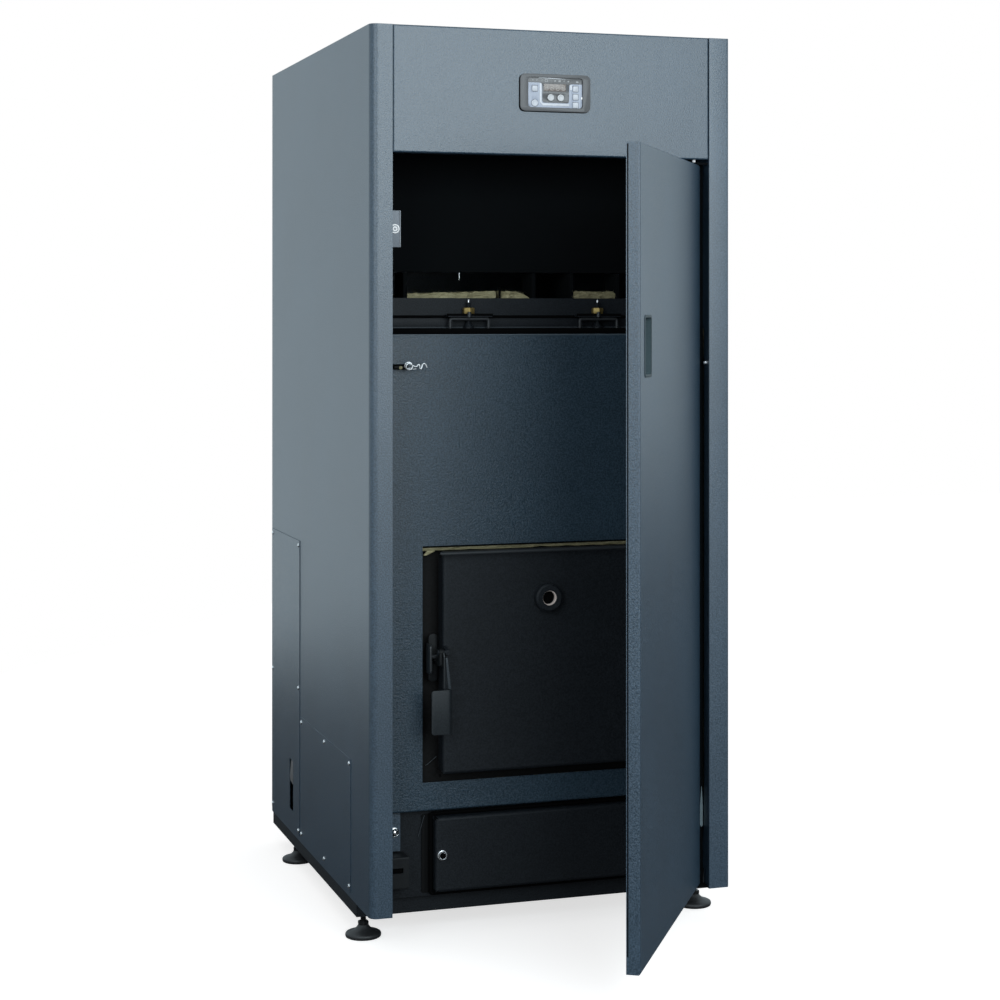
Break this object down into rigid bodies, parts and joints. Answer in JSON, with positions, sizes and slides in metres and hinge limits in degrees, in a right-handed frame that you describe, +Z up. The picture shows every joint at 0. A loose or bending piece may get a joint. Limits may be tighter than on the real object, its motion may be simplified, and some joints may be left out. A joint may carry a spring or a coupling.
{
  "type": "pellet boiler",
  "caption": "Floor-standing pellet boiler in an anthracite steel casing with a hinged outer door, hinged fire and ash doors, a keypad controller and levelling feet.",
  "frame": {"origin": "on the floor, under the middle of the casing", "axes": "+X to the right seen from the front, +Y from the front to the back, +Z up"},
  "size_m": [0.678, 1.3707, 1.562],
  "materials": {
    "casing_paint": "blue-grey anthracite powder coat, fine texture, satin",
    "black_paint": "matt black heat-resistant paint",
    "boiler_steel": "dark primed boiler plate",
    "zinc_steel": "zinc plated",
    "bright_steel": "chrome plated",
    "cast_burner": "as cast",
    "brass": "plain turned",
    "wool": "olive-grey mineral wool",
    "fibre_board": "pale ceramic fibre",
    "sight_glass": "clear heat-resistant glass",
    "black_plastic": "moulded, fine grain",
    "grey_plastic": "moulded blue-grey",
    "pale_plastic": "frosted pale keypad",
    "white_plastic": "white moulded",
    "aluminium": "die-cast motor housing",
    "foot_plastic": "moulded black foot with a zinc stem"
  },
  "bodies": {
    "boiler": {"left_side_panel": "casing_paint", "right_side_panel": "casing_paint", "top_cover": "casing_paint", "front_fascia": "casing_paint", "back_panel": "casing_paint", "left_rear_cover": "casing_paint", "left_lower_cover": "casing_paint", "cover_screws": "zinc_steel", "base_frame": "black_paint", "inner_front_panel": "casing_paint", "water_jacket": "boiler_steel", "firebox": "boiler_steel", "flue_tubes": "boiler_steel", "flue_collar": "black_paint", "flue_cover": "black_paint", "mineral_wool": "wool", "clamp_nuts": "brass", "bay_panel": "black_paint", "flue_spigot": "boiler_steel", "pipe_sockets": "boiler_steel", "fire_door_frame": "black_paint", "latch_keeper": "black_paint", "ash_box": "black_paint", "ash_pan": "black_paint", "burner_unit": "cast_burner", "auger_gearmotor": "aluminium", "fan_housing": "aluminium", "control_bezel": "black_plastic", "control_plate": "pale_plastic", "control_box": "black_plastic", "catch_bracket": "casing_paint", "catch_magnet": "white_plastic", "side_bracket": "black_paint", "hairpin_clip": "zinc_steel", "hinge_post": "black_paint", "front_bolts": "bright_steel"},
    "outer_door": {"door_skin": "casing_paint", "pull_handle": "grey_plastic"},
    "fire_door": {"fire_door_pan": "black_paint", "fire_door_board": "fibre_board", "fire_door_gasket": "fibre_board", "sight_socket": "black_paint", "sight_glass": "sight_glass"},
    "latch": {"latch_lever": "black_paint", "latch_grip": "black_plastic"},
    "ash_door": {"ash_door": "black_paint"},
    "ash_lock": {"ash_lock": "bright_steel"},
    "foot_front_left": {"foot_front_left": "foot_plastic"},
    "foot_front_right": {"foot_front_right": "foot_plastic"},
    "foot_rear_left": {"foot_rear_left": "foot_plastic"},
    "foot_rear_right": {"foot_rear_right": "foot_plastic"},
    "key_menu": {"key_menu": "pale_plastic"},
    "key_up": {"key_up": "pale_plastic"},
    "key_ok": {"key_ok": "pale_plastic"},
    "key_down": {"key_down": "pale_plastic"},
    "key_power": {"key_power": "pale_plastic"},
    "key_minus": {"key_minus": "pale_plastic"},
    "key_plus": {"key_plus": "pale_plastic"},
    "feed_auger": {"feed_auger": "zinc_steel"},
    "fan_impeller": {"fan_impeller": "zinc_steel"}
  },
  "joints": [
    {"name": "outer_door_hinge", "type": "hinge", "parent": "boiler", "child": "outer_door", "pos_m": [0.2605, -0.4115, 0.702], "axis": [0, 0, 1], "range_deg": [-58, 62]},
    {"name": "fire_door_hinge", "type": "hinge", "parent": "boiler", "child": "fire_door", "pos_m": [0.201, -0.3665, 0.476], "axis": [0, 0, 1], "range_deg": [0, 57]},
    {"name": "latch_pivot", "type": "hinge", "parent": "fire_door", "child": "latch", "pos_m": [-0.194, -0.3925, 0.498], "axis": [-1, 0, 0], "range_deg": [-6.5, 80]},
    {"name": "ash_door_hinge", "type": "hinge", "parent": "boiler", "child": "ash_door", "pos_m": [0.207, -0.3405, 0.142], "axis": [0, 0, 1], "range_deg": [0, 57]},
    {"name": "ash_lock_turn", "type": "hinge", "parent": "ash_door", "child": "ash_lock", "pos_m": [-0.181, -0.3505, 0.142], "axis": [0, 1, 0], "range_deg": [0, 90]},
    {"name": "foot_front_left_turn", "type": "hinge", "parent": "boiler", "child": "foot_front_left", "pos_m": [-0.308, -0.3005, 0.03], "axis": [0, 0, 1], "continuous": true},
    {"name": "foot_front_right_turn", "type": "hinge", "parent": "boiler", "child": "foot_front_right", "pos_m": [0.308, -0.3005, 0.03], "axis": [0, 0, 1], "continuous": true},
    {"name": "foot_rear_left_turn", "type": "hinge", "parent": "boiler", "child": "foot_rear_left", "pos_m": [-0.308, 0.2455, 0.03], "axis": [0, 0, 1], "continuous": true},
    {"name": "foot_rear_right_turn", "type": "hinge", "parent": "boiler", "child": "foot_rear_right", "pos_m": [0.308, 0.2455, 0.03], "axis": [0, 0, 1], "continuous": true},
    {"name": "key_menu_press", "type": "slide", "parent": "boiler", "child": "key_menu", "axis": [0, 1, 0], "range_m": [0, 0.0008], "stiffness_N_per_m": 600},
    {"name": "key_up_press", "type": "slide", "parent": "boiler", "child": "key_up", "axis": [0, 1, 0], "range_m": [0, 0.0008], "stiffness_N_per_m": 600},
    {"name": "key_ok_press", "type": "slide", "parent": "boiler", "child": "key_ok", "axis": [0, 1, 0], "range_m": [0, 0.0008], "stiffness_N_per_m": 600},
    {"name": "key_down_press", "type": "slide", "parent": "boiler", "child": "key_down", "axis": [0, 1, 0], "range_m": [0, 0.0008], "stiffness_N_per_m": 600},
    {"name": "key_power_press", "type": "slide", "parent": "boiler", "child": "key_power", "axis": [0, 1, 0], "range_m": [0, 0.0008], "stiffness_N_per_m": 600},
    {"name": "key_minus_press", "type": "slide", "parent": "boiler", "child": "key_minus", "axis": [0, 1, 0], "range_m": [0, 0.0008], "stiffness_N_per_m": 600},
    {"name": "key_plus_press", "type": "slide", "parent": "boiler", "child": "key_plus", "axis": [0, 1, 0], "range_m": [0, 0.0008], "stiffness_N_per_m": 600},
    {"name": "feed_auger_turn", "type": "hinge", "parent": "boiler", "child": "feed_auger", "pos_m": [0, 0.1975, 0.157], "axis": [0, 1, 0], "continuous": true},
    {"name": "fan_impeller_turn", "type": "hinge", "parent": "boiler", "child": "fan_impeller", "pos_m": [0.15, 0.2925, 0.157], "axis": [0, 1, 0], "continuous": true}
  ]
}
